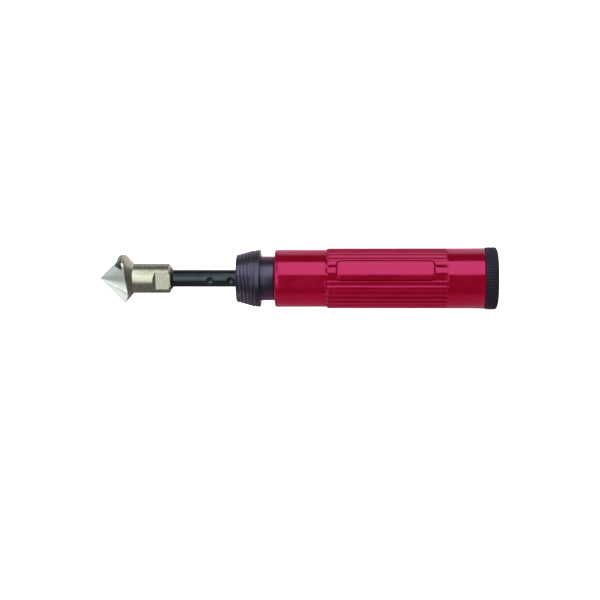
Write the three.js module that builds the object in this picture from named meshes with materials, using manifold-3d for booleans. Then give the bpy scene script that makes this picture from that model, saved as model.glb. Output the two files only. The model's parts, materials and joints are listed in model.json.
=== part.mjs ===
// Hand deburring tool: a countersink on a telescopic shaft, locked by a ball
// under a spring-returned collar, in a ribbed hollow handle with a screw cap.
// Millimetres. The tool's axis lies along X: tip at -X, cap at +X, +Z up.
// Stations along the axis are distances behind a datum 0.9 mm behind the tip.
import * as THREE from "three";
import { mergeVertices } from "three/addons/utils/BufferGeometryUtils.js";
import Module from "manifold-3d";

const wasm = await Module();
wasm.setup();

// ---- driving dimensions ----
const TIP = -0.9;
const CAP_END = 162.7;
const AXIS_HEIGHT = 12.757;
const ROUND = 36;

const HEAD_RADIUS = 10.2;
const HEAD_RIM = 9.5;
const HEEL_TURN = 30;
const HEEL_SHARE = 0.67;
const TOP_SHARE = 0.985;
const CROWN_RADIUS = 9.85;
const CROWN_TURN = 86;
const NECK_RADIUS = 6;
const NECK_START = 13.6;
const NECK_END = 28.6;
const ACROSS_FLATS = 9.5;
const FLAT_START = 22.4;
const HEAD_TURN = -12.8;
const STUD_RADIUS = 2.35;

const SHAFT_RADIUS = 3.5;
const SHAFT_TAIL = 121.4;
const POCKET_FIRST = 45.2;
const POCKET_PITCH = 8.3;
const POCKET_COUNT = 8;
const BALL_RADIUS = 1.43;
const BALL_STATION = 61.8;
const BALL_HEIGHT = 4.98;

const COLLAR_FRONT = 55.8;
const COLLAR_REAR = 65.6;
const COLLAR_SHOULDER = 62.2;
const COLLAR_FRONT_RADIUS = 9.55;
const COLLAR_SHOULDER_RADIUS = 11.4;
const COLLAR_REAR_RADIUS = 11.75;
const COLLAR_GROOVES = 5;
const COLLAR_GROOVE_DEPTH = 0.15;
const STEM_RADIUS = 6.4;
const SLEEVE_BORE = 3.55;
const SLEEVE_RADIUS = 9.1;
const SLEEVE_END = 90;

const HANDLE_FRONT = 71.5;
const HANDLE_REAR = 156.6;
const RIB_START = 92.5;
const RIB_END = 141.5;
const BODY_RADIUS = 11.7;
const RIB_RADIUS = 12.3;
const RIB_COUNT = 30;
const RIB_PHASE = 15.4;
const GROOVE_DEPTH = 0.6;
const PANEL_GROOVES = 2;
const PANEL_START = 97.2;
const PANEL_END = 136.1;
const CAVITY_RADIUS = 9;

const CAP_LIP = 157.05;
const CAP_RADIUS = 12.7;
const CAP_KNURLS = 60;
const RIM_FACETS = 30;

// ---- materials ----
const material = (name, color, metalness, roughness) => {
  const made = new THREE.MeshStandardMaterial({ color, metalness, roughness });
  made.name = name;
  return made;
};
const MATERIALS = {
  tool_steel: () => material("tool_steel", 0xa9aeac, 0.9, 0.35),
  black_steel: () => material("black_steel", 0x25272b, 0.8, 0.4),
  bright_steel: () => material("bright_steel", 0xb8babd, 0.95, 0.25),
  spring_steel: () => material("spring_steel", 0x8f9296, 0.95, 0.3),
  brass: () => material("brass", 0xb8923f, 0.95, 0.35),
  black_nylon: () => material("black_nylon", 0x2c2a35, 0, 0.5),
  black_rubber: () => material("black_rubber", 0x18181a, 0, 0.8),
  red_plastic: () => material("red_plastic", 0x960524, 0, 0.15),
};

// ---- solids ----
// A geometry as a manifold solid.
function solid(geometry) {
  const bare = geometry.clone();
  bare.deleteAttribute("normal");
  bare.deleteAttribute("uv");
  const merged = mergeVertices(bare, 1e-4);
  return new wasm.Manifold(
    new wasm.Mesh({
      numProp: 3,
      vertProperties: merged.attributes.position.array,
      triVerts: new Uint32Array(merged.index.array),
    }),
  );
}

// A manifold solid as a geometry.
function geometryOf(made) {
  const mesh = made.getMesh();
  const geometry = new THREE.BufferGeometry();
  geometry.setAttribute("position", new THREE.BufferAttribute(mesh.vertProperties, 3));
  geometry.setIndex(new THREE.BufferAttribute(mesh.triVerts, 1));
  geometry.computeVertexNormals();
  return geometry;
}

// A turned solid from [station, radius] pairs, which run tip to cap on the outside.
function turned(profile, segments = ROUND) {
  const points = profile.map(([station, radius]) => new THREE.Vector2(radius, station));
  const lathe = new THREE.LatheGeometry(points, segments);
  return solid(lathe.rotateZ(-Math.PI / 2));
}

// A turned solid of flat facets that clear the given radii, with one facet between
// each pair of grip ribs, so that the tool rests on a facet and not on a corner.
function faceted(profile, facets) {
  const spread = 1 / Math.cos(Math.PI / facets);
  const body = turned(profile.map(([station, radius]) => [station, radius * spread]), facets);
  return turn(body, RIB_PHASE + 180 / RIB_COUNT - 24);
}

// A ring: outer profile tip to cap, then the bore back to the start.
function ring(start, end, inner, outer, segments = ROUND) {
  return turned(
    [[start, inner], [start, outer], [end, outer], [end, inner], [start, inner]],
    segments,
  );
}

// A rod along the axis.
function rod(start, end, radius, segments = ROUND) {
  return turned([[start, 0], [start, radius], [end, radius], [end, 0]], segments);
}

// Turns a solid about the axis so that -Y comes to `degrees` above the horizontal.
const turn = (made, degrees) => made.rotate([-degrees, 0, 0]);

// ---- countersink ----
// Radius of the head as a share of its full cone, by angle above the horizontal:
// full at the lip, which points down; a flat from there to the heel; then a land
// that rises from the heel back to the full cone.
function leadOf(degrees) {
  const { degToRad, smoothstep } = THREE.MathUtils;
  const round = ((degrees + 90) % 360 + 360) % 360;
  if (round < HEEL_TURN) {
    const heel = degToRad(HEEL_TURN);
    const slant = (1 / HEEL_SHARE - Math.cos(heel)) / Math.sin(heel);
    return 1 / (Math.cos(degToRad(round)) + slant * Math.sin(degToRad(round)));
  }
  if (round < 180) return HEEL_SHARE + (TOP_SHARE - HEEL_SHARE) * smoothstep(round, 45, 165);
  return THREE.MathUtils.lerp(TOP_SHARE, 1, (round - 180) / 180);
}

function leadCone(length) {
  const flare = HEAD_RADIUS / (HEAD_RIM - TIP);
  const cone = new THREE.ConeGeometry(length * flare, length, ROUND, 1);
  cone.translate(0, -length / 2, 0);
  cone.rotateZ(Math.PI / 2);
  cone.translate(TIP, 0, 0);
  const position = cone.attributes.position;
  for (let i = 0; i < position.count; i++) {
    const y = position.getY(i);
    const z = position.getZ(i);
    if (Math.hypot(y, z) < 1e-6) continue;
    const share = leadOf(THREE.MathUtils.radToDeg(Math.atan2(z, -y)));
    position.setY(i, y * share);
    position.setZ(i, z * share);
  }
  return solid(cone);
}

function countersink() {
  const cone = leadCone(13);
  const envelope = turned([
    [TIP, 0],
    [HEAD_RIM, HEAD_RADIUS],
    [NECK_START, NECK_RADIUS],
    [NECK_START, 0],
  ]);
  const neck = turned([
    [12, 0],
    [12, NECK_RADIUS],
    [NECK_END - 0.6, NECK_RADIUS],
    [NECK_END, NECK_RADIUS - 0.7],
    [NECK_END, 0],
  ]);
  let head = cone.intersect(envelope).add(neck);
  for (const side of [0, 180]) {
    const chip = solid(new THREE.BoxGeometry(10, 4, 14)).translate([
      FLAT_START + 5, -ACROSS_FLATS / 2 - 2, 0,
    ]);
    head = head.subtract(turn(chip, HEAD_TURN + side));
  }
  const crown = turned([
    [6.6, 0],
    [6.6, 7.5],
    [7, CROWN_RADIUS - 1.05],
    [7.4, CROWN_RADIUS - 0.55],
    [7.9, CROWN_RADIUS - 0.2],
    [8.6, CROWN_RADIUS],
    [9.6, CROWN_RADIUS],
    [10.2, CROWN_RADIUS - 0.3],
    [11, 8.75],
    [NECK_START, NECK_RADIUS],
    [NECK_START, 0],
  ]);
  const top = solid(new THREE.BoxGeometry(8, 8, 13)).translate([10, -9.5, 0]);
  head = head.add(crown.intersect(turn(top, CROWN_TURN)));
  return head.subtract(rod(14.5, NECK_END + 1, STUD_RADIUS + 0.05, 32));
}

// ---- telescopic shaft ----
function holderShaft() {
  let shaft = turned([
    [15, 0],
    [15, STUD_RADIUS - 0.4],
    [15.4, STUD_RADIUS],
    [28.9, STUD_RADIUS],
    [28.9, 4.9],
    [29.4, 3.9],
    [29.8, SHAFT_RADIUS],
    [118.4, SHAFT_RADIUS],
    [118.4, 2.2],
    [SHAFT_TAIL, 2.2],
    [SHAFT_TAIL, 0],
  ]);
  for (let i = 0; i < POCKET_COUNT; i++) {
    const dimple = solid(new THREE.SphereGeometry(1.85, 10, 6)).translate([
      POCKET_FIRST + i * POCKET_PITCH, -SHAFT_RADIUS - 1.05, 0,
    ]);
    shaft = shaft.subtract(turn(dimple, HEAD_TURN));
  }
  return shaft.subtract(rod(112, SHAFT_TAIL + 1, 1.3, 20));
}

function tailStop() {
  return turned([
    [118.6, 2.26],
    [118.6, 4.4],
    [119, 4.8],
    [121, 4.8],
    [121.4, 4.4],
    [121.4, 2.26],
    [118.6, 2.26],
  ]);
}

function tailScrew() {
  const screw = turned([
    [113, 0],
    [113, 1.25],
    [121.7, 1.25],
    [121.7, 2.8],
    [122.7, 2.8],
    [123.2, 2.3],
    [123.2, 0],
  ], 32);
  const slot = solid(new THREE.BoxGeometry(1.4, 0.7, 8)).translate([123.2, 0, 0]);
  return screw.subtract(slot);
}

// ---- sleeve, ball lock and collar ----
function noseSleeve() {
  const body = turned([
    [56.2, SLEEVE_BORE],
    [56.2, 5.9],
    [56.5, STEM_RADIUS],
    [56.85, STEM_RADIUS],
    [56.85, 5.8],
    [57.75, 5.8],
    [57.75, STEM_RADIUS],
    [70.4, STEM_RADIUS],
    [70.4, 8.3],
    [64.4, 8.3],
    [64.4, SLEEVE_RADIUS],
    [71.2, SLEEVE_RADIUS - 0.1],
    [71.2, 6.5],
    [SLEEVE_END, 6.5],
    [SLEEVE_END, 5.3],
    [76.8, 5.3],
    [76.8, 4.4],
    [64.4, 4.4],
    [64.4, SLEEVE_BORE],
    [56.2, SLEEVE_BORE],
  ]);
  const hole = solid(new THREE.CylinderGeometry(BALL_RADIUS + 0.07, BALL_RADIUS + 0.07, 5, 24)).translate([
    BALL_STATION, -5.5, 0,
  ]);
  return body.subtract(turn(hole, HEAD_TURN));
}

function lockBall() {
  const ball = solid(new THREE.SphereGeometry(BALL_RADIUS, 14, 9));
  return turn(ball.translate([BALL_STATION, -BALL_HEIGHT, 0]), HEAD_TURN);
}

// The collar's outside: a steep flare up to its shoulder, and a slight one behind it.
function collarRadius(station) {
  const { lerp } = THREE.MathUtils;
  if (station < COLLAR_SHOULDER) {
    const along = (station - COLLAR_FRONT) / (COLLAR_SHOULDER - COLLAR_FRONT);
    return lerp(COLLAR_FRONT_RADIUS, COLLAR_SHOULDER_RADIUS, along);
  }
  const along = (station - COLLAR_SHOULDER) / (COLLAR_REAR - COLLAR_SHOULDER);
  return lerp(COLLAR_SHOULDER_RADIUS, COLLAR_REAR_RADIUS, along);
}

function releaseCollar() {
  const outside = [
    [COLLAR_FRONT, COLLAR_FRONT_RADIUS - 0.35],
    [COLLAR_FRONT + 0.35, collarRadius(COLLAR_FRONT + 0.35)],
  ];
  for (let i = 0; i < COLLAR_GROOVES; i++) {
    const middle = COLLAR_FRONT + 1.55 + i * 1.5;
    outside.push([middle - 0.35, collarRadius(middle - 0.35)]);
    outside.push([middle, collarRadius(middle) - COLLAR_GROOVE_DEPTH]);
    outside.push([middle + 0.35, collarRadius(middle + 0.35)]);
  }
  return faceted([
    [COLLAR_FRONT, 8.2],
    ...outside,
    [COLLAR_REAR - 0.3, collarRadius(COLLAR_REAR - 0.3)],
    [COLLAR_REAR, COLLAR_REAR_RADIUS - 0.3],
    [COLLAR_REAR, SLEEVE_RADIUS + 0.2],
    [60, SLEEVE_RADIUS + 0.2],
    [60, 7.2],
    [63, 7.2],
    [63, 6.5],
    [61.9, 6.5],
    [57.9, 7.26],
    [57.9, 8.2],
    [COLLAR_FRONT, 8.2],
  ], RIM_FACETS);
}

function collarStopRing() {
  const whole = ring(57, 57.6, 5.87, 7.8);
  const gap = solid(new THREE.BoxGeometry(2, 2.4, 4)).translate([57.3, 0, 7.4]);
  return whole.subtract(gap);
}

class Helix extends THREE.Curve {
  constructor(start, end, radius, turns) {
    super();
    Object.assign(this, { start, end, radius, turns });
  }
  getPoint(t) {
    const angle = 2 * Math.PI * this.turns * t;
    return new THREE.Vector3(
      THREE.MathUtils.lerp(this.start, this.end, t),
      this.radius * Math.cos(angle),
      this.radius * Math.sin(angle),
    );
  }
}

function collarSpring() {
  const wire = new THREE.Shape();
  wire.absarc(0, 0, 0.25, 0, 2 * Math.PI, false);
  const coil = new THREE.ExtrudeGeometry(wire, {
    extrudePath: new Helix(60.4, 69.3, 7.72, 4.5),
    steps: 72,
    curveSegments: 3,
  });
  return solid(coil);
}

// ---- handle ----
// One long groove between two ribs, with rounded ends.
function grooveCutter(start, end, width, depth, radius) {
  const long = new THREE.CapsuleGeometry(width / 2, end - start - width, 2, 8);
  long.rotateZ(Math.PI / 2);
  const flat = solid(long).scale([1, (2 * depth) / width, 1]);
  return flat.translate([(start + end) / 2, -radius, 0]);
}

function handleShell() {
  let shell = turned([
    [HANDLE_FRONT, 6.56],
    [HANDLE_FRONT, 9.25],
    [72.1, 10.55],
    [72.7, 11.25],
    [73.6, BODY_RADIUS],
    [RIB_START - 0.5, BODY_RADIUS],
    [RIB_START + 0.8, RIB_RADIUS],
    [RIB_END, RIB_RADIUS],
    [149, RIB_RADIUS],
    [HANDLE_REAR - 0.4, 12.35],
    [HANDLE_REAR, 12.1],
    [HANDLE_REAR, 10.65],
    [145.9, 10.65],
    [145.9, CAVITY_RADIUS],
    [86, CAVITY_RADIUS],
    [86, 6.56],
    [HANDLE_FRONT, 6.56],
  ], 2 * RIB_COUNT);
  shell = turn(shell, RIB_PHASE - 15);
  const pitch = 360 / RIB_COUNT;
  for (let i = 0; i < RIB_COUNT; i++) {
    const along = (i + 0.5) * pitch;
    const fromPanel = Math.abs(((along + 90) % 180) - 90);
    if (fromPanel < PANEL_GROOVES * pitch) continue;
    const groove = grooveCutter(RIB_START - 0.2, RIB_END, 1.7, GROOVE_DEPTH, RIB_RADIUS);
    shell = shell.subtract(turn(groove, RIB_PHASE + along));
  }
  const spans = [[RIB_START - 3, PANEL_START], [PANEL_END, RIB_END]];
  for (const [start, end] of spans) {
    for (const middle of [RIB_PHASE, RIB_PHASE + 180]) {
      for (const side of [-pitch, pitch]) {
        const recess = grooveCutter(start, end, 3.6, GROOVE_DEPTH, RIB_RADIUS);
        shell = shell.subtract(turn(recess, middle + side));
      }
    }
  }
  return shell;
}

function sleeveNut() {
  const nut = turned([
    [86.3, 6.56],
    [86.3, 8.6],
    [89, 8.6],
    [89.5, 8.1],
    [89.5, 6.56],
    [86.3, 6.56],
  ]);
  const slot = solid(new THREE.BoxGeometry(1.4, 20, 1.6)).translate([89.4, 0, 0]);
  return nut.subtract(slot).subtract(turn(slot, 90));
}

function capInsert() {
  return turned([
    [146.2, 9.4],
    [146.2, 10.6],
    [156.4, 10.6],
    [156.4, 9.4],
    [146.2, 9.4],
  ]);
}

// ---- cap ----
function endCap() {
  let cap = faceted([
    [148.3, 7],
    [148.3, 8.85],
    [148.7, 9.25],
    [CAP_LIP, 9.25],
    [CAP_LIP, 12.5],
    [CAP_LIP + 0.2, CAP_RADIUS],
    [161.4, CAP_RADIUS],
    [161.65, 12.25],
    [161.95, 11.7],
    [162.35, 9.4],
    [162.6, 5.4],
    [CAP_END, 0],
    [159.8, 0],
    [159.8, 7],
    [148.3, 7],
  ], RIM_FACETS);
  for (let i = 0; i < CAP_KNURLS; i++) {
    const notch = solid(new THREE.CylinderGeometry(0.42, 0.42, 5, 4));
    const laid = notch.rotate([0, 0, 90]).translate([160.9, -CAP_RADIUS - 0.12, 0]);
    cap = cap.subtract(turn(laid, RIB_PHASE + (i + 0.5) * (360 / CAP_KNURLS)));
  }
  return cap;
}

// A ring of round section, turned tip to cap over its outside.
function oring(station, middleRadius, wireRadius) {
  const round = [];
  for (let i = 0; i <= 8; i++) {
    const angle = (2 * Math.PI * i) / 8;
    round.push([
      station - wireRadius * Math.cos(angle),
      middleRadius + wireRadius * Math.sin(angle),
    ]);
  }
  round[8] = round[0];
  return turned(round);
}

// ---- assembly ----
const PIECES = {
  countersink: [countersink, "tool_steel"],
  holder_shaft: [holderShaft, "black_steel"],
  tail_stop: [tailStop, "bright_steel"],
  tail_screw: [tailScrew, "bright_steel"],
  nose_sleeve: [noseSleeve, "black_nylon"],
  guide_bush: [() => ring(64.6, 71, SLEEVE_BORE, 4.35), "brass"],
  drag_oring: [() => oring(71.9, 3.96, 0.4), "black_rubber"],
  gland_ring: [() => ring(72.8, 76.7, 3.7, 4.35), "bright_steel"],
  lock_ball: [lockBall, "bright_steel"],
  release_collar: [releaseCollar, "black_nylon"],
  collar_spring: [collarSpring, "spring_steel"],
  collar_stop_ring: [collarStopRing, "spring_steel"],
  spring_seat: [() => ring(69.8, 70.3, 6.45, 8.2), "bright_steel"],
  sleeve_nut: [sleeveNut, "brass"],
  handle_shell: [handleShell, "red_plastic"],
  cap_insert: [capInsert, "brass"],
  cap_oring: [() => oring(156.82, 10, 0.2), "black_rubber"],
  end_cap: [endCap, "black_nylon"],
};

const group = new THREE.Group();
group.name = "deburring_tool";
for (const [name, [build, slot]] of Object.entries(PIECES)) {
  const mesh = new THREE.Mesh(geometryOf(build()), MATERIALS[slot]());
  mesh.name = name;
  mesh.position.set(-(TIP + CAP_END) / 2, 0, AXIS_HEIGHT);
  group.add(mesh);
}

export default group;
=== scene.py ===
"""Looks of the deburring tool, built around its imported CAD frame.

The tool's axis lies along X. Stations are millimetres behind a datum 0.9 mm
behind the tip, and angles are degrees above the side that faces -Y.
"""
import json
import math

import bmesh
import bpy
import numpy as np
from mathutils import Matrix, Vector


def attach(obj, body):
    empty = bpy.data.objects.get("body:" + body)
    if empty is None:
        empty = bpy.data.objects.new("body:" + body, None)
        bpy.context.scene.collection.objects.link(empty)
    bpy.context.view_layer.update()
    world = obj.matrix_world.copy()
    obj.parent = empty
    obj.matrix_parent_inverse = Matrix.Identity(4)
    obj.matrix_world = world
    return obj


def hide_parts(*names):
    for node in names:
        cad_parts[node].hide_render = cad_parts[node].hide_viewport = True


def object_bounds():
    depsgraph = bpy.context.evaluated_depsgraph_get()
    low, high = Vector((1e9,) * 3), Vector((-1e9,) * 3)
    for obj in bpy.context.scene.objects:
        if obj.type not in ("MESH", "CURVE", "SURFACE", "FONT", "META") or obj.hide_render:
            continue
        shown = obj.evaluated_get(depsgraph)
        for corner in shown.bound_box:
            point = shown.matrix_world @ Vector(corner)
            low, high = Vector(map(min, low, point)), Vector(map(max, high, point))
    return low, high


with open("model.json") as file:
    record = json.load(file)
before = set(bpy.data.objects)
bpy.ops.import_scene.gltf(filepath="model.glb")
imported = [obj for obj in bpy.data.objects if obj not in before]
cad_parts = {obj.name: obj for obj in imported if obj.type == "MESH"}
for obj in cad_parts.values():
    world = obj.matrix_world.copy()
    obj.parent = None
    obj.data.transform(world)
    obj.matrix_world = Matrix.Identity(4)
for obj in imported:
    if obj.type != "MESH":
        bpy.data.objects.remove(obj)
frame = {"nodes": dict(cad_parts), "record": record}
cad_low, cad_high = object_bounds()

MM = 0.001
TIP = -0.9
DATUM_X = cad_low[0] - TIP * MM
AXIS_Z = (cad_low[2] + cad_high[2]) / 2
HEAD_TURN = -12.8
HEAD_RIM = 9.5
HEAD_RADIUS = 10.2
BACK_SLOPE = 1.12
CROWN_LEAD = 3.0
RIB_PITCH = 12.0
RIB_PHASE = 15.4
PANEL_TURNS = (RIB_PHASE, RIB_PHASE + 180)


# ---- profiles and turned meshes ----
def smoothstep(low, high, value):
    t = np.clip((value - low) / (high - low), 0, 1)
    return t * t * (3 - 2 * t)


def filleted(corners, steps=5):
    """A path of (station, radius) points from (station, radius, fillet) corners."""
    path = []
    count = len(corners)
    for i, corner in enumerate(corners):
        here = np.array(corner[:2], float)
        fillet = corner[2] if len(corner) > 2 else 0
        if fillet == 0 or i in (0, count - 1):
            path.append(here)
            continue
        before = np.array(corners[i - 1][:2], float) - here
        after = np.array(corners[i + 1][:2], float) - here
        a, b = before / np.linalg.norm(before), after / np.linalg.norm(after)
        half = math.acos(np.clip(np.dot(a, b), -1, 1)) / 2
        reach = min(
            fillet / max(math.tan(half), 1e-6),
            0.49 * np.linalg.norm(before),
            0.49 * np.linalg.norm(after),
        )
        start, end = here + a * reach, here + b * reach
        for k in range(steps + 1):
            t = k / steps
            path.append((1 - t) ** 2 * start + 2 * t * (1 - t) * here + t**2 * end)
    return np.array(path)


def refined_between(path, step, low, high):
    """Refines only the stretch whose stations lie between low and high, on the outside."""
    out = [path[0]]
    for a, b in zip(path[:-1], path[1:]):
        inside = b[0] > a[0] and a[0] < high and b[0] > low
        parts = max(1, math.ceil(np.linalg.norm(b - a) / step)) if inside else 1
        out += [a + (b - a) * (k + 1) / parts for k in range(parts)]
    return np.array(out)


def normals_of(path):
    """Outward normals of a path that runs tip to cap on its outside."""
    along = np.gradient(path, axis=0)
    normal = np.stack([-along[:, 1], along[:, 0]], axis=1)
    return normal / np.maximum(np.linalg.norm(normal, axis=1, keepdims=True), 1e-9)


def mesh_object(name, points, faces, sharp=32):
    mesh = bpy.data.meshes.new(name)
    mesh.from_pydata(points.tolist(), [], faces)
    mesh.validate()
    mesh.polygons.foreach_set("use_smooth", [True] * len(mesh.polygons))
    mesh.set_sharp_from_angle(angle=math.radians(sharp))
    made = bpy.data.objects.new(name, mesh)
    bpy.context.scene.collection.objects.link(made)
    return made


def grid_mesh(name, stations, radii, angles, closed, sharp=32):
    """A turned mesh from arrays [path point, angle] of stations and radii."""
    rows, columns = stations.shape
    turn = np.radians(angles)[None, :]
    x = DATUM_X + stations * MM
    y = -np.cos(turn) * radii * MM
    z = AXIS_Z + np.sin(turn) * radii * MM
    points = np.stack([x, y, z], axis=2).reshape(-1, 3)
    faces = []
    last = rows if closed else rows - 1
    for i in range(last):
        k = (i + 1) % rows
        start_pole = not closed and i == 0
        end_pole = not closed and i == last - 1
        for j in range(columns):
            m = (j + 1) % columns
            a, b, c, d = i * columns + j, i * columns + m, k * columns + m, k * columns + j
            if start_pole:
                faces.append((0, d, c))
            elif end_pole:
                faces.append((a, k * columns, b))
            else:
                faces.append((a, d, c, b))
    used = sorted({v for face in faces for v in face})
    renumber = {v: n for n, v in enumerate(used)}
    faces = [tuple(renumber[v] for v in face) for face in faces]
    return mesh_object(name, points[used], faces, sharp)


def turned(name, path, count, lift=None, sharp=32):
    """Turns a path; lift(stations, angles, radii) raises the surface along its normal.
    A path with both ends on the axis is a solid; otherwise it closes on itself."""
    closed = path[0][1] > 1e-6
    if closed and np.allclose(path[0], path[-1]):
        path = path[:-1]
    angles = np.arange(count) * 360.0 / count
    stations = np.repeat(path[:, :1], count, axis=1)
    radii = np.repeat(path[:, 1:], count, axis=1)
    if lift is not None:
        normal = normals_of(path)
        rise = lift(stations, angles[None, :], radii, normal[:, 1:])
        stations = stations + normal[:, :1] * rise
        radii = radii + normal[:, 1:] * rise
    return grid_mesh(name, stations, radii, angles, closed, sharp)


def away(angles, middle):
    """Signed degrees from middle, between -180 and 180."""
    return (angles - middle + 180) % 360 - 180


# ---- materials ----
class Nodes:
    """Short names for building one material's nodes."""

    def __init__(self, name):
        self.material = bpy.data.materials.new(name)
        self.material.use_nodes = True
        self.tree = self.material.node_tree
        self.shader = self.tree.nodes["Principled BSDF"]
        self.place = self.add("ShaderNodeTexCoord").outputs["Object"]

    def add(self, kind, **values):
        node = self.tree.nodes.new(kind)
        for key, value in values.items():
            setattr(node, key, value)
        return node

    def link(self, a, b):
        self.tree.links.new(a, b)

    def stretched(self, scale):
        node = self.add("ShaderNodeMapping")
        node.inputs["Scale"].default_value = scale
        self.link(self.place, node.inputs["Vector"])
        return node.outputs["Vector"]

    def axes(self):
        """The X, Y and Z of the place, in metres."""
        node = self.add("ShaderNodeSeparateXYZ")
        self.link(self.place, node.inputs[0])
        return node.outputs

    def noise(self, scale, detail=3, stretch=None, roughness=0.55):
        node = self.add("ShaderNodeTexNoise")
        node.inputs["Scale"].default_value = scale
        node.inputs["Detail"].default_value = detail
        node.inputs["Roughness"].default_value = roughness
        self.link(self.stretched(stretch) if stretch else self.place, node.inputs["Vector"])
        return node.outputs["Fac"]

    def ramp(self, value, low, high, out_low, out_high):
        node = self.add("ShaderNodeMapRange")
        for key, number in zip(
            ("From Min", "From Max", "To Min", "To Max"), (low, high, out_low, out_high)
        ):
            node.inputs[key].default_value = number
        self.link(value, node.inputs["Value"])
        return node.outputs["Result"]

    def math(self, kind, a, b):
        node = self.add("ShaderNodeMath", operation=kind)
        for socket, value in zip(node.inputs, (a, b)):
            if isinstance(value, (int, float)):
                socket.default_value = value
            else:
                self.link(value, socket)
        return node.outputs[0]

    def product(self, first, *others):
        for other in others:
            first = self.math("MULTIPLY", first, other)
        return first

    def mix(self, share, a, b):
        node = self.add("ShaderNodeMix", data_type="RGBA")
        if isinstance(share, (int, float)):
            node.inputs[0].default_value = share
        else:
            self.link(share, node.inputs[0])
        for socket, value in zip((node.inputs[6], node.inputs[7]), (a, b)):
            if isinstance(value, tuple):
                socket.default_value = (*value, 1)
            else:
                self.link(value, socket)
        return node.outputs[2]

    def bump(self, height, strength, distance, onto=None):
        node = self.add("ShaderNodeBump")
        node.inputs["Strength"].default_value = strength
        node.inputs["Distance"].default_value = distance
        self.link(height, node.inputs["Height"])
        if onto is not None:
            self.link(onto, node.inputs["Normal"])
        return node.outputs["Normal"]

    def wear_and_glint_edges(self, low, high):
        """Nearly 1 on raised edges, 0 on flats."""
        pointiness = self.add("ShaderNodeNewGeometry").outputs["Pointiness"]
        return self.ramp(pointiness, low, high, 0, 1)

    def finish(self, colour, roughness, normal=None, **fixed):
        self.link(colour, self.shader.inputs["Base Color"])
        self.link(roughness, self.shader.inputs["Roughness"])
        if normal is not None:
            self.link(normal, self.shader.inputs["Normal"])
        for key, value in fixed.items():
            self.shader.inputs[key.replace("_", " ")].default_value = value
        return self.material


def red_plastic():
    n = Nodes("red_plastic")
    clouds = n.noise(90, 4)
    fine = n.noise(1400, 3)
    rubs = n.noise(260, 5, stretch=(1, 9, 9))
    colour = n.mix(n.ramp(clouds, 0.35, 0.65, 0, 1), (0.176, 0.0004, 0.0078), (0.196, 0.0006, 0.0102))
    wear_and_glint = n.product(n.wear_and_glint_edges(0.53, 0.60), n.ramp(rubs, 0.5, 0.65, 0, 0.35))
    colour = n.mix(wear_and_glint, colour, (0.27, 0.008, 0.03))
    roughness = n.math(
        "ADD", n.ramp(clouds, 0.3, 0.7, 0.11, 0.18), n.ramp(rubs, 0.52, 0.75, 0, 0.08)
    )
    normal = n.bump(n.noise(55, 2), 0.10, 0.0006)
    normal = n.bump(fine, 0.05, 0.00005, normal)
    n.shader.inputs["Specular Tint"].default_value = (1.0, 0.11, 0.38, 1)
    return n.finish(colour, roughness, normal, IOR=2.0)


def black_nylon(name, gloss, roughness_low, roughness_high):
    n = Nodes(name)
    clouds = n.noise(120, 4)
    grain = n.noise(2600, 3)
    dust = n.noise(420, 6)
    colour = n.mix(n.ramp(clouds, 0.35, 0.65, 0, 1), (0.0055, 0.004, 0.009), (0.008, 0.006, 0.013))
    colour = n.mix(n.ramp(dust, 0.60, 0.78, 0, 0.25), colour, (0.035, 0.032, 0.05))
    colour = n.mix(
        n.product(n.wear_and_glint_edges(0.52, 0.62), 0.45), colour, (0.055, 0.05, 0.08)
    )
    roughness = n.math(
        "ADD",
        n.ramp(clouds, 0.3, 0.7, roughness_low, roughness_high),
        n.ramp(grain, 0.3, 0.7, -0.03, 0.05),
    )
    normal = n.bump(grain, 0.25, 0.00006)
    n.shader.inputs["Specular Tint"].default_value = (0.72, 0.70, 1.0, 1)
    n.shader.inputs["Specular IOR Level"].default_value = gloss
    return n.finish(colour, roughness, normal, IOR=1.7)


def black_steel():
    n = Nodes("black_steel")
    clouds = n.noise(160, 4)
    rings = n.noise(900, 3, stretch=(14, 1, 1))
    streaks = n.noise(500, 4, stretch=(0.5, 6, 6))
    colour = n.mix(n.ramp(clouds, 0.35, 0.65, 0, 1), (0.016, 0.024, 0.029), (0.024, 0.034, 0.040))
    wear_and_glint = n.math("MAXIMUM", n.wear_and_glint_edges(0.52, 0.60), n.ramp(streaks, 0.66, 0.80, 0, 0.35))
    colour = n.mix(n.product(wear_and_glint, 0.6), colour, (0.20, 0.21, 0.22))
    roughness = n.math(
        "ADD", n.ramp(clouds, 0.3, 0.7, 0.16, 0.22), n.ramp(rings, 0.3, 0.7, -0.04, 0.06)
    )
    normal = n.bump(rings, 0.12, 0.00004)
    return n.finish(colour, roughness, normal, Metallic=0.65)


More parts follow.
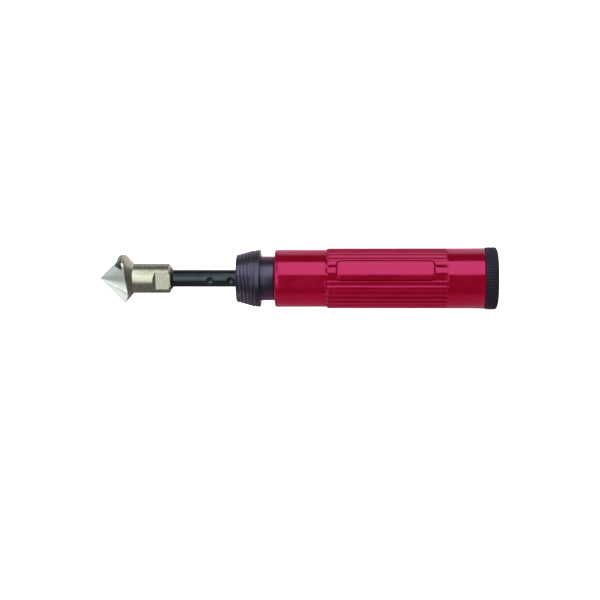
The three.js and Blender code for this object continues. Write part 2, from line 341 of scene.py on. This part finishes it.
def cone_face(n):
    """Nearly 1 on the ground cone at the front, 0 on the crown, back and neck; also the
    turn about the axis, and a mask of painted shade in the throat where the crown rises off the cone."""
    x, y, z = n.axes()
    height = n.math("SUBTRACT", z, AXIS_Z)
    radius = n.math("ADD", n.product(y, y), n.product(height, height))
    radius = n.math("POWER", radius, 0.5)
    behind_tip = n.math("SUBTRACT", x, cad_low[0])
    flare = n.math("DIVIDE", radius, n.math("MAXIMUM", behind_tip, 1e-5))
    rim = (HEAD_RIM - TIP) * MM
    past_rim = n.product(n.math("SUBTRACT", x, cad_low[0] + rim), BACK_SLOPE)
    back = n.math("ADD", radius, past_rim)
    face = n.product(
        n.ramp(flare, 0.985, 1.01, 1, 0),
        n.ramp(back, (HEAD_RADIUS - 0.2) * MM, (HEAD_RADIUS - 0.05) * MM, 1, 0),
        n.ramp(behind_tip, 0.013, 0.0135, 1, 0),
    )
    turn_up = n.math("ARCTAN2", height, n.product(y, -1))
    crown_start = n.ramp(turn_up, 0.35, 0.80, rim, rim - CROWN_LEAD * MM)
    # Painted shade: marks the throat where the crown rises off the cone, to be coloured nearly black.
    painted_throat_shade = n.product(
        n.ramp(n.math("SUBTRACT", behind_tip, crown_start), -0.0003, 0.0001, 0, 1),
        n.ramp(past_rim, -0.0006, -0.0001, 1, 0),
        n.ramp(height, 0.0058, 0.0070, 1, 0),
        n.ramp(y, -0.001, 0, 1, 0),
    )
    face = n.product(face, n.math("SUBTRACT", 1, painted_throat_shade))
    return face, n.math("ARCTAN2", height, y), painted_throat_shade


def ground_steel():
    n = Nodes("tool_steel")
    clouds = n.noise(150, 4)
    rings = n.noise(700, 4, stretch=(9, 0.6, 0.6))
    grit = n.noise(1500, 4, stretch=(1, 3, 3))
    face, turn, painted_throat_shade = cone_face(n)
    fan = n.add("ShaderNodeTexNoise", noise_dimensions="1D")
    fan.inputs["Scale"].default_value = 26
    fan.inputs["Detail"].default_value = 5
    n.link(turn, fan.inputs["W"])
    olive = n.mix(n.ramp(clouds, 0.3, 0.7, 0, 1), (0.335, 0.34, 0.262), (0.425, 0.43, 0.35))
    olive = n.mix(n.ramp(rings, 0.42, 0.70, 0, 0.5), olive, (0.26, 0.26, 0.19))
    ground = n.mix(n.ramp(clouds, 0.3, 0.7, 0, 1), (0.50, 0.55, 0.53), (0.58, 0.62, 0.59))
    ground = n.mix(n.ramp(fan.outputs["Fac"], 0.5, 0.72, 0, 0.7), ground, (0.36, 0.41, 0.40))
    colour = n.mix(face, olive, ground)
    # Edges are coloured near white: partly wear, partly a painted highlight along the edges.
    wear_and_glint = n.product(n.wear_and_glint_edges(0.53, 0.62), 0.8)
    colour = n.mix(wear_and_glint, colour, (0.86, 0.86, 0.80))
    # Painted shade: the throat is coloured nearly black.
    colour = n.mix(painted_throat_shade, colour, (0.06, 0.07, 0.055))
    roughness = n.math(
        "ADD", n.ramp(clouds, 0.3, 0.7, 0.23, 0.29), n.ramp(grit, 0.3, 0.7, -0.04, 0.06)
    )
    roughness = n.math("ADD", roughness, n.product(face, 0.08))
    normal = n.bump(rings, 0.14, 0.00005)
    normal = n.bump(fan.outputs["Fac"], 0.12, 0.00012, normal)
    normal = n.bump(grit, 0.05, 0.00003, normal)
    return n.finish(colour, roughness, normal, Metallic=0.9)


def plain_metal(name, low, high, roughness_low, roughness_high):
    n = Nodes(name)
    clouds = n.noise(260, 4)
    rings = n.noise(800, 3, stretch=(10, 1, 1))
    colour = n.mix(n.ramp(clouds, 0.3, 0.7, 0, 1), low, high)
    normal = n.bump(rings, 0.15, 0.00003)
    roughness = n.ramp(rings, 0.3, 0.7, roughness_low, roughness_high)
    return n.finish(colour, roughness, normal, Metallic=1.0)


def black_rubber():
    n = Nodes("black_rubber")
    grain = n.noise(1800, 4)
    colour = n.mix(n.ramp(grain, 0.3, 0.7, 0, 1), (0.012, 0.012, 0.013), (0.03, 0.03, 0.032))
    return n.finish(colour, n.ramp(grain, 0.3, 0.7, 0.6, 0.8), n.bump(grain, 0.3, 0.00005))


def pale_floor():
    n = Nodes("pale_floor")
    colour = n.mix(n.noise(3, 2), (0.86,) * 3, (0.88,) * 3)
    n.shader.inputs["Emission Color"].default_value = (1, 1, 1, 1)
    n.shader.inputs["Emission Strength"].default_value = 0.62
    return n.finish(colour, n.ramp(n.noise(8, 2), 0, 1, 0.9, 1.0))


def pale_backdrop():
    """White to the eye; its mirror image is dimmer, and most so behind the tool's head."""
    n = Nodes("pale_backdrop")
    mirrored = n.add("ShaderNodeLightPath").outputs["Is Glossy Ray"]
    plain = n.mix(n.noise(3, 2), (0.80,) * 3, (0.82,) * 3)
    colour = n.mix(mirrored, plain, (0.05,) * 3)
    across = n.axes()[0]
    behind_grip = n.product(
        n.ramp(across, -0.066, -0.058, 0, 1), n.ramp(across, 0.136, 0.148, 1, 0)
    )
    dimmer = n.math(
        "ADD", n.ramp(across, -0.15, -0.13, 0.5, 1.0), n.ramp(behind_grip, 0, 1, 0, 0.3)
    )
    rosy = n.mix(n.product(mirrored, behind_grip), (1, 1, 1), (1, 0.3, 0.6))
    n.link(rosy, n.shader.inputs["Emission Color"])
    glow = n.math("ADD", n.product(mirrored, dimmer), n.ramp(mirrored, 0, 1, 1.05, 0))
    n.link(glow, n.shader.inputs["Emission Strength"])
    return n.finish(colour, n.ramp(n.noise(8, 2), 0, 1, 0.9, 1.0))


def glowing_card(name, colour, glow, rising=None):
    """A card seen only in reflections. It glows evenly, or from the first to the second
    glow between the two heights of rising."""
    n = Nodes(name)
    n.shader.inputs["Base Color"].default_value = (0, 0, 0, 1)
    n.shader.inputs["Roughness"].default_value = 0.95
    n.shader.inputs["Emission Color"].default_value = (*colour, 1)
    if rising is None:
        n.shader.inputs["Emission Strength"].default_value = glow
    else:
        n.link(n.ramp(n.axes()[2], *rising, *glow), n.shader.inputs["Emission Strength"])
    n.material.cycles.emission_sampling = "NONE"
    return n.material


SLOT_MATERIALS = {
    "red_plastic": red_plastic(),
    "black_nylon": black_nylon("black_nylon", 0.5, 0.28, 0.36),
    "black_steel": black_steel(),
    "tool_steel": ground_steel(),
    "bright_steel": plain_metal("bright_steel", (0.60, 0.61, 0.62), (0.7, 0.71, 0.72), 0.2, 0.32),
    "spring_steel": plain_metal("spring_steel", (0.40, 0.41, 0.43), (0.5, 0.51, 0.53), 0.25, 0.4),
    "brass": plain_metal("brass", (0.62, 0.46, 0.17), (0.72, 0.55, 0.22), 0.25, 0.38),
    "black_rubber": black_rubber(),
}
KNURLED_NYLON = black_nylon("knurled_nylon", 0.2, 0.5, 0.6)


def place(piece, body, slot, *nodes, material=None):
    """Gives a piece its material, body and the CAD nodes it stands for."""
    piece.data.materials.clear()
    piece.data.materials.append(material or SLOT_MATERIALS[slot])
    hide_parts(*nodes)
    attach(piece, body)
    return piece


# ---- handle ----
RIB_START = 92.5
RIB_END = 141.5
PANEL_START = 97.2
PANEL_END = 136.1
PANEL_HALF_WIDTH = 4.05
PANEL_CORNER = 1.3
RIB_HEIGHT = 0.62
GRIP_FLOOR = 11.68


def panel_distance(stations, angles, middle):
    """Millimetres outside the rounded edge of a label panel; negative within it."""
    half_length = (PANEL_END - PANEL_START) / 2
    round_the_grip = np.radians(np.abs(away(angles, middle))) * (GRIP_FLOOR + 0.52)
    across = round_the_grip - (PANEL_HALF_WIDTH - PANEL_CORNER)
    along = np.abs(stations - (PANEL_START + PANEL_END) / 2) - (half_length - PANEL_CORNER)
    outside = np.hypot(np.maximum(across, 0), np.maximum(along, 0))
    return outside + np.minimum(np.maximum(across, along), 0) - PANEL_CORNER


def handle_lift(stations, angles, radii, outward):
    """Height of the ribs and label panels over the grip's floor. A short stub of rib runs
    up to each end of a panel, with a recess on both sides of it."""
    share = away(angles, RIB_PHASE) / RIB_PITCH
    share = np.abs(share - np.round(share)) * 2
    crown = 1 - 0.72 * np.clip(share / 0.96, 0, 1) ** 2
    front = smoothstep(RIB_START - 0.3, RIB_START + 0.9, stations)
    rear = smoothstep(RIB_END - 0.5, RIB_END + 0.3, stations)
    for middle, hand in zip(PANEL_TURNS, (1, -1)):
        aside = hand * away(angles, middle)
        stub = smoothstep(5.7, 4.9, np.abs(aside))
        above = smoothstep(4.8, 14, aside)
        below = 0.45 * smoothstep(-12, -5, aside) * (aside < 0)
        crown = np.where(np.abs(aside) < 20, np.maximum(stub, np.maximum(above, below)), crown)
    height = RIB_HEIGHT * np.maximum(crown * front, rear)
    for middle in PANEL_TURNS:
        distance = panel_distance(stations, angles, middle)
        inside = smoothstep(0.12, -0.12, distance)
        border = 1 - smoothstep(0.0, 0.30, np.abs(distance - 0.2))
        height = height * (1 - 0.92 * border) * (1 - inside) + RIB_HEIGHT * inside
    return np.where((outward > 0.3) & (radii > 11), height, 0)


def make_handle():
    path = filleted([
        (71.5, 6.56), (71.5, 11.72, 1.75), (73.4, 11.74, 0.4), (80, 11.7, 3),
        (92, GRIP_FLOOR, 3), (141.2, GRIP_FLOOR), (142.9, GRIP_FLOOR, 1), (149, GRIP_FLOOR, 3),
        (154, 11.72, 3), (156.6, 11.80, 0.3),
        (156.6, 10.65, 0.2), (145.9, 10.65), (145.9, 9), (86, 9), (86, 6.56), (71.5, 6.56),
    ])
    path = refined_between(path, 0.35, 91, 144)
    grip = turned("grip", path, 720, handle_lift)
    return place(grip, "handle", "red_plastic", "handle_shell")


make_handle()


# ---- cap ----
CAP_RADIUS = 12.7
KNURL_PITCH = 6.0
KNURL_DEPTH = 0.32


def cap_lift(stations, angles, radii, outward):
    share = angles / KNURL_PITCH
    share = np.abs(share - np.round(share)) * 2
    crown = np.sqrt(np.clip(1 - (share * 0.98) ** 2, 0, 1))
    knurled = smoothstep(157.7, 158.0, stations) * smoothstep(10.6, 11.5, radii)
    return np.where(radii > 10.5, -KNURL_DEPTH * (1 - crown) * knurled, 0)


def make_cap():
    path = filleted([
        (148.3, 7.0), (148.3, 9.25, 0.4), (157.05, 9.25), (157.05, 12.5, 0.15),
        (157.3, 12.62, 0.1), (157.8, 12.62, 0.1), (157.95, CAP_RADIUS, 0.1), (161.65, CAP_RADIUS, 1.15),
        (162.3, 11.0, 1.5), (162.6, 7.0, 3), (162.7, 0.0),
    ])
    inside = [(159.8, 0.0), (159.8, 7.0)]
    path = np.concatenate([inside, refined_between(path, 0.14, 157.2, 162.4)])
    cap = turned("knurled_cap", path, 960, cap_lift)
    return place(cap, "cap", "black_nylon", "end_cap", material=KNURLED_NYLON)


make_cap()


# ---- collar and sleeve ----
COLLAR_FRONT = 55.8
COLLAR_SHOULDER = 62.2
COLLAR_REAR = 65.6
COLLAR_RADII = (9.55, 11.4, 11.75)
COLLAR_RINGS = 5
RING_PITCH = 1.5
SLEEVE_BORE = 3.55
BALL_STATION = 61.8
BALL_HOLE = 1.5
HOLE_TURN = 17.5


def collar_radius(station):
    return np.interp(station, (COLLAR_FRONT, COLLAR_SHOULDER, COLLAR_REAR), COLLAR_RADII)


def make_collar():
    corners = [(COLLAR_FRONT, 8.2), (COLLAR_FRONT, COLLAR_RADII[0], 0.4)]
    for i in range(COLLAR_RINGS):
        middle = COLLAR_FRONT + 1.45 + i * RING_PITCH
        corners += [
            (middle - 0.42, collar_radius(middle - 0.42), 0.14),
            (middle - 0.12, collar_radius(middle) - 0.16, 0.12),
            (middle + 0.16, collar_radius(middle) - 0.14, 0.12),
            (middle + 0.42, collar_radius(middle + 0.42), 0.14),
        ]
    corners += [
        (COLLAR_REAR, COLLAR_RADII[2], 0.3), (COLLAR_REAR, 9.3, 0.35), (60, 9.3), (60, 7.2),
        (63, 7.2), (63, 6.5), (61.9, 6.5), (57.9, 7.26), (57.9, 8.2), (COLLAR_FRONT, 8.2),
    ]
    collar = turned("flared_collar", filleted(corners, 4), 180)
    return place(collar, "collar", "black_nylon", "release_collar")


make_collar()


def cut_ball_hole(sleeve):
    """Opens the sleeve's wall where the lock ball sits."""
    made = bmesh.new()
    made.from_mesh(sleeve.data)

    def in_hole(point):
        station = (point.x - DATUM_X) / MM
        turn = math.degrees(math.atan2(point.z - AXIS_Z, -point.y))
        return abs(station - BALL_STATION) < BALL_HOLE and abs(turn - HEAD_TURN) < HOLE_TURN

    walls = [face for face in made.faces if in_hole(face.calc_center_median())]
    bmesh.ops.delete(made, geom=walls, context="FACES")
    bmesh.ops.bridge_loops(made, edges=[edge for edge in made.edges if edge.is_boundary])
    made.to_mesh(sleeve.data)
    made.free()


def make_sleeve():
    hole_start, hole_end = BALL_STATION - BALL_HOLE, BALL_STATION + BALL_HOLE
    path = filleted([
        (56.2, SLEEVE_BORE), (56.2, 6.4, 0.3), (56.85, 6.4), (56.85, 5.8), (57.75, 5.8), (57.75, 6.4),
        (hole_start, 6.4), (hole_end, 6.4),
        (70.4, 6.4), (70.4, 8.3), (64.4, 8.3), (64.4, 9.1, 0.15), (71.2, 9.0, 0.2), (71.2, 6.5),
        (90, 6.5, 0.3), (90, 5.3), (76.8, 5.3), (76.8, 4.4), (64.4, 4.4),
        (64.4, SLEEVE_BORE), (hole_end, SLEEVE_BORE), (hole_start, SLEEVE_BORE),
        (56.2, SLEEVE_BORE),
    ])
    sleeve = turned("sleeve", path, 144)
    cut_ball_hole(sleeve)
    return place(sleeve, "handle", "black_nylon", "nose_sleeve")


make_sleeve()


# ---- shaft ----
SHAFT_RADIUS = 3.5
POCKET_RADIUS = 1.85
POCKET_HEIGHT = SHAFT_RADIUS + 1.05
POCKETS = [45.2 + 8.3 * i for i in range(8)]


def pocket_lift(stations, angles, radii, outward):
    """Round dimples: the surface drops to the wall of each ball-shaped cut."""
    sideways = np.radians(away(angles, HEAD_TURN))
    drop = np.zeros(np.broadcast_shapes(stations.shape, angles.shape))
    for pocket in POCKETS:
        across = POCKET_HEIGHT * np.sin(sideways)
        inside = POCKET_RADIUS**2 - across**2 - (stations - pocket) ** 2
        floor = POCKET_HEIGHT * np.cos(sideways) - np.sqrt(np.clip(inside, 0, None))
        cut = (inside > 0) & (np.cos(sideways) > 0) & (radii > 3)
        drop = np.where(cut, np.minimum(drop, floor - radii), drop)
    return drop


def make_shaft():
    path = filleted([
        (15, 0), (15, 1.95), (15.4, 2.35), (28.9, 2.35), (28.9, 4.9, 0.15), (29.45, 3.8, 0.2),
        (29.8, SHAFT_RADIUS, 0.1), (118.4, SHAFT_RADIUS, 0.1), (118.4, 2.2), (121.4, 2.2), (121.4, 1.3),
        (112, 1.3), (112, 0),
    ])
    path = refined_between(path, 0.16, 30, 118)
    shaft = turned("telescopic_shaft", path, 160, pocket_lift)
    return place(shaft, "holder", "black_steel", "holder_shaft")


make_shaft()


# ---- countersink ----
LIP_TURN = -90
HEEL = 30
HEEL_SHARE = 0.67
TOP_SHARE = 0.985
NECK_RADIUS = 6.0
NECK_END = 28.6
HALF_FLATS = 4.75
STUD_HOLE = 2.4


def lead_share(turn):
    """The head's radius over its full cone: full at the lip, then a flat to the heel,
    then a land that rises from the heel back to the full cone."""
    past_lip = (turn - LIP_TURN) % 360
    slant = (1 / HEEL_SHARE - math.cos(math.radians(HEEL))) / math.sin(math.radians(HEEL))
    flat = 1 / (np.cos(np.radians(past_lip)) + slant * np.sin(np.radians(past_lip)))
    land = HEEL_SHARE + (TOP_SHARE - HEEL_SHARE) * smoothstep(45, 165, past_lip)
    after = TOP_SHARE + (1 - TOP_SHARE) * (past_lip - 180) / 180
    return np.where(past_lip < HEEL, flat, np.where(past_lip < 180, land, after))


CROWN_END = 13.4
CROWN = np.array([
    (6.5, 7.4), (6.6, 7.85), (6.8, 8.45), (7.0, 8.8), (7.3, 9.18), (7.6, 9.43), (7.95, 9.62),
    (8.3, 9.75), (8.7, 9.83), (9.1, 9.86), (9.5, 9.84), (9.85, 9.74), (10.2, 9.52),
    (10.5, 9.25), (10.8, 8.93), (11.1, 8.6), (CROWN_END, 6.05),
])


def crowned(stations, angles, plain):
    """Puts the rounded crown that stands behind the cone's top onto a plain head."""
    over_top = smoothstep(14, 52, angles) * (1 - smoothstep(122, 156, angles))
    front = HEAD_RIM - CROWN_LEAD * over_top
    crown = np.interp(stations, CROWN[:, 0], CROWN[:, 1])
    share = smoothstep(0, 0.75, over_top)
    there = (stations >= front) & (stations <= CROWN_END)
    slot = (stations >= front - 0.35) & (stations < front + 0.05)
    sunk = plain - 0.5 * smoothstep(0.1, 0.5, over_top)
    raised = plain + (crown - plain) * share
    return np.where(there, raised, np.where(slot, sunk, plain))


def make_countersink():
    stations = np.concatenate([
        np.linspace(TIP, 6, 44), np.linspace(6.08, 12.5, 90), np.linspace(12.6, 14.2, 16),
        np.linspace(14.4, 21.0, 18), np.linspace(21.1, 23.2, 22), np.linspace(23.5, 27.7, 14),
        np.linspace(27.8, NECK_END, 9),
    ])
    angles = np.concatenate([np.arange(-90, 270, 0.75), [-90 + HEEL + 0.1]])
    angles = np.unique(np.round(angles, 3))
    s, a = np.meshgrid(stations, angles, indexing="ij")
    cone = (s - TIP) * HEAD_RADIUS / (HEAD_RIM - TIP) * lead_share(a)
    back = HEAD_RADIUS - BACK_SLOPE * (s - HEAD_RIM)
    back = back - 0.03 * np.clip(s - HEAD_RIM, 0, 4.0) * (s - 13.5)
    neck = NECK_RADIUS - np.clip(s - 28.05, 0, None) * 1.25
    behind = np.maximum(back, neck)
    radius = crowned(s, a, np.minimum(cone, behind))
    for side in (0, 180):
        sideways = np.radians(away(a, HEAD_TURN + side))
        facing = np.cos(sideways) > 0.2
        wall = HALF_FLATS + 1.3 * smoothstep(22.75, 21.5, s)
        flat = wall / np.where(facing, np.cos(sideways), 1)
        radius = np.where(facing & (s > 21), np.minimum(radius, flat), radius)
    bore = [(NECK_END, STUD_HOLE), (14.5, STUD_HOLE), (14.5, 0.0)]
    stations = np.concatenate([s, *(np.full((1, a.shape[1]), p[0]) for p in bore)])
    radius = np.concatenate([radius, *(np.full((1, a.shape[1]), p[1]) for p in bore)])
    head = grid_mesh("cutter_head", stations, radius, angles, closed=False, sharp=28)
    return place(head, "holder", "tool_steel", "countersink")


make_countersink()

# ---- CAD nodes that stay ----
slots = {entry["node"]: entry["material_slot"] for entry in frame["record"]["subparts"]}
for node, made in frame["nodes"].items():
    if not made.hide_render:
        made.data.materials.clear()
        made.data.materials.append(SLOT_MATERIALS[slots[node]])


# ---- stage, light and camera ----
def sheet(name, corners, material):
    mesh = bpy.data.meshes.new(name)
    mesh.from_pydata(corners, [], [(0, 1, 2, 3)])
    made = bpy.data.objects.new(name, mesh)
    made.data.materials.append(material)
    bpy.context.scene.collection.objects.link(made)
    return made


FLOOR_Z = cad_low[2] - 0.0002
floor = sheet(
    "floor",
    [(-6, -6, FLOOR_Z), (6, -6, FLOOR_Z), (6, 6, FLOOR_Z), (-6, 6, FLOOR_Z)],
    pale_floor(),
)
floor.visible_glossy = False

world = bpy.data.worlds.new("studio")
world.use_nodes = True
bpy.context.scene.world = world
background = world.node_tree.nodes["Background"]
background.inputs["Color"].default_value = (0.96, 0.98, 1, 1)
background.inputs["Strength"].default_value = 0.07


def aim(made, target):
    direction = Vector(target) - made.location
    made.rotation_euler = direction.to_track_quat("-Z", "Y").to_euler()


def softbox(name, place_at, target, width, height, power):
    light = bpy.data.lights.new(name, "AREA")
    light.shape = "RECTANGLE"
    light.size, light.size_y = width, height
    light.energy = power
    made = bpy.data.objects.new(name, light)
    made.location = place_at
    bpy.context.scene.collection.objects.link(made)
    aim(made, target)


softbox("grip_key", (0.15, -0.45, 0.40), (0.15, 0, AXIS_Z), 0.45, 0.60, 2.6)
softbox("collar_key", (-0.315, -0.45, 0.40), (-0.315, 0, AXIS_Z), 0.33, 0.60, 1.9)
softbox("cone_light", (-0.55, -0.12, 0.10), (-0.08, 0, AXIS_Z), 0.6, 0.5, 0.3)


def reflection_card(name, corners, *looks):
    """A glowing card that only shows in the tool's polish, below the floor too."""
    card = sheet(name, corners, glowing_card(name, *looks))
    card.visible_camera = False
    card.visible_diffuse = False
    card.visible_shadow = False
    card.visible_transmission = False


def upright_card(name, x, near, far, bottom, top, *looks):
    """A card facing along X, from near to far and from bottom to top."""
    corners = [(x, near, bottom), (x, far, bottom), (x, far, top), (x, near, top)]
    reflection_card(name, corners, *looks)


def sunk_card(name, left, right, *looks):
    """A level card under the floor, reaching from left to right."""
    low, near, far = -0.3, -0.15, 0.6
    corners = [(left, near, low), (right, near, low), (right, far, low), (left, far, low)]
    reflection_card(name, corners, *looks)


WHITE = (1, 1, 1)
reflection_card(
    "front_card",
    [(-0.20, -0.5, -0.38), (-0.06, -0.5, -0.38), (-0.06, -0.5, 0.20), (-0.20, -0.5, 0.20)],
    WHITE, (1.1, 3.2), (-0.35, -0.1),
)
upright_card(
    "cone_card", -0.67, -0.05, 0.62, -0.38, 0.55, (0.93, 1, 0.98), (0.75, 1.0), (0.2, 0.5)
)
upright_card("facet_card", -0.67, -0.15, 0.55, -1.0, -0.40, (1, 1, 0.96), 2.4)
sunk_card("under_grip_card", -0.028, 0.097, (1, 0.22, 0.50), 0.8)
sunk_card("under_sleeve_card", -0.05, -0.028, WHITE, 0.5)
sunk_card("under_cap_card", 0.097, 0.2, WHITE, 0.5)
sunk_card("under_collar_card", -0.4, -0.16, WHITE, 0.9)

backdrop = sheet(
    "backdrop",
    [(-3, 0.9, FLOOR_Z), (3, 0.9, FLOOR_Z), (3, 0.9, 3), (-3, 0.9, 3)],
    pale_backdrop(),
)

camera_data = bpy.data.cameras.new("camera")
camera_data.lens = 99
camera_data.sensor_width = 36
camera_data.clip_start = 0.01
camera_data.clip_end = 30
camera_data.shift_y = -0.0362
camera = bpy.data.objects.new("camera", camera_data)
camera.location = (0.0281, -0.676, AXIS_Z)
bpy.context.scene.collection.objects.link(camera)
aim(camera, (0.0008, 0.0, AXIS_Z))
bpy.context.scene.camera = camera
bpy.context.scene.view_settings.view_transform = "Standard"
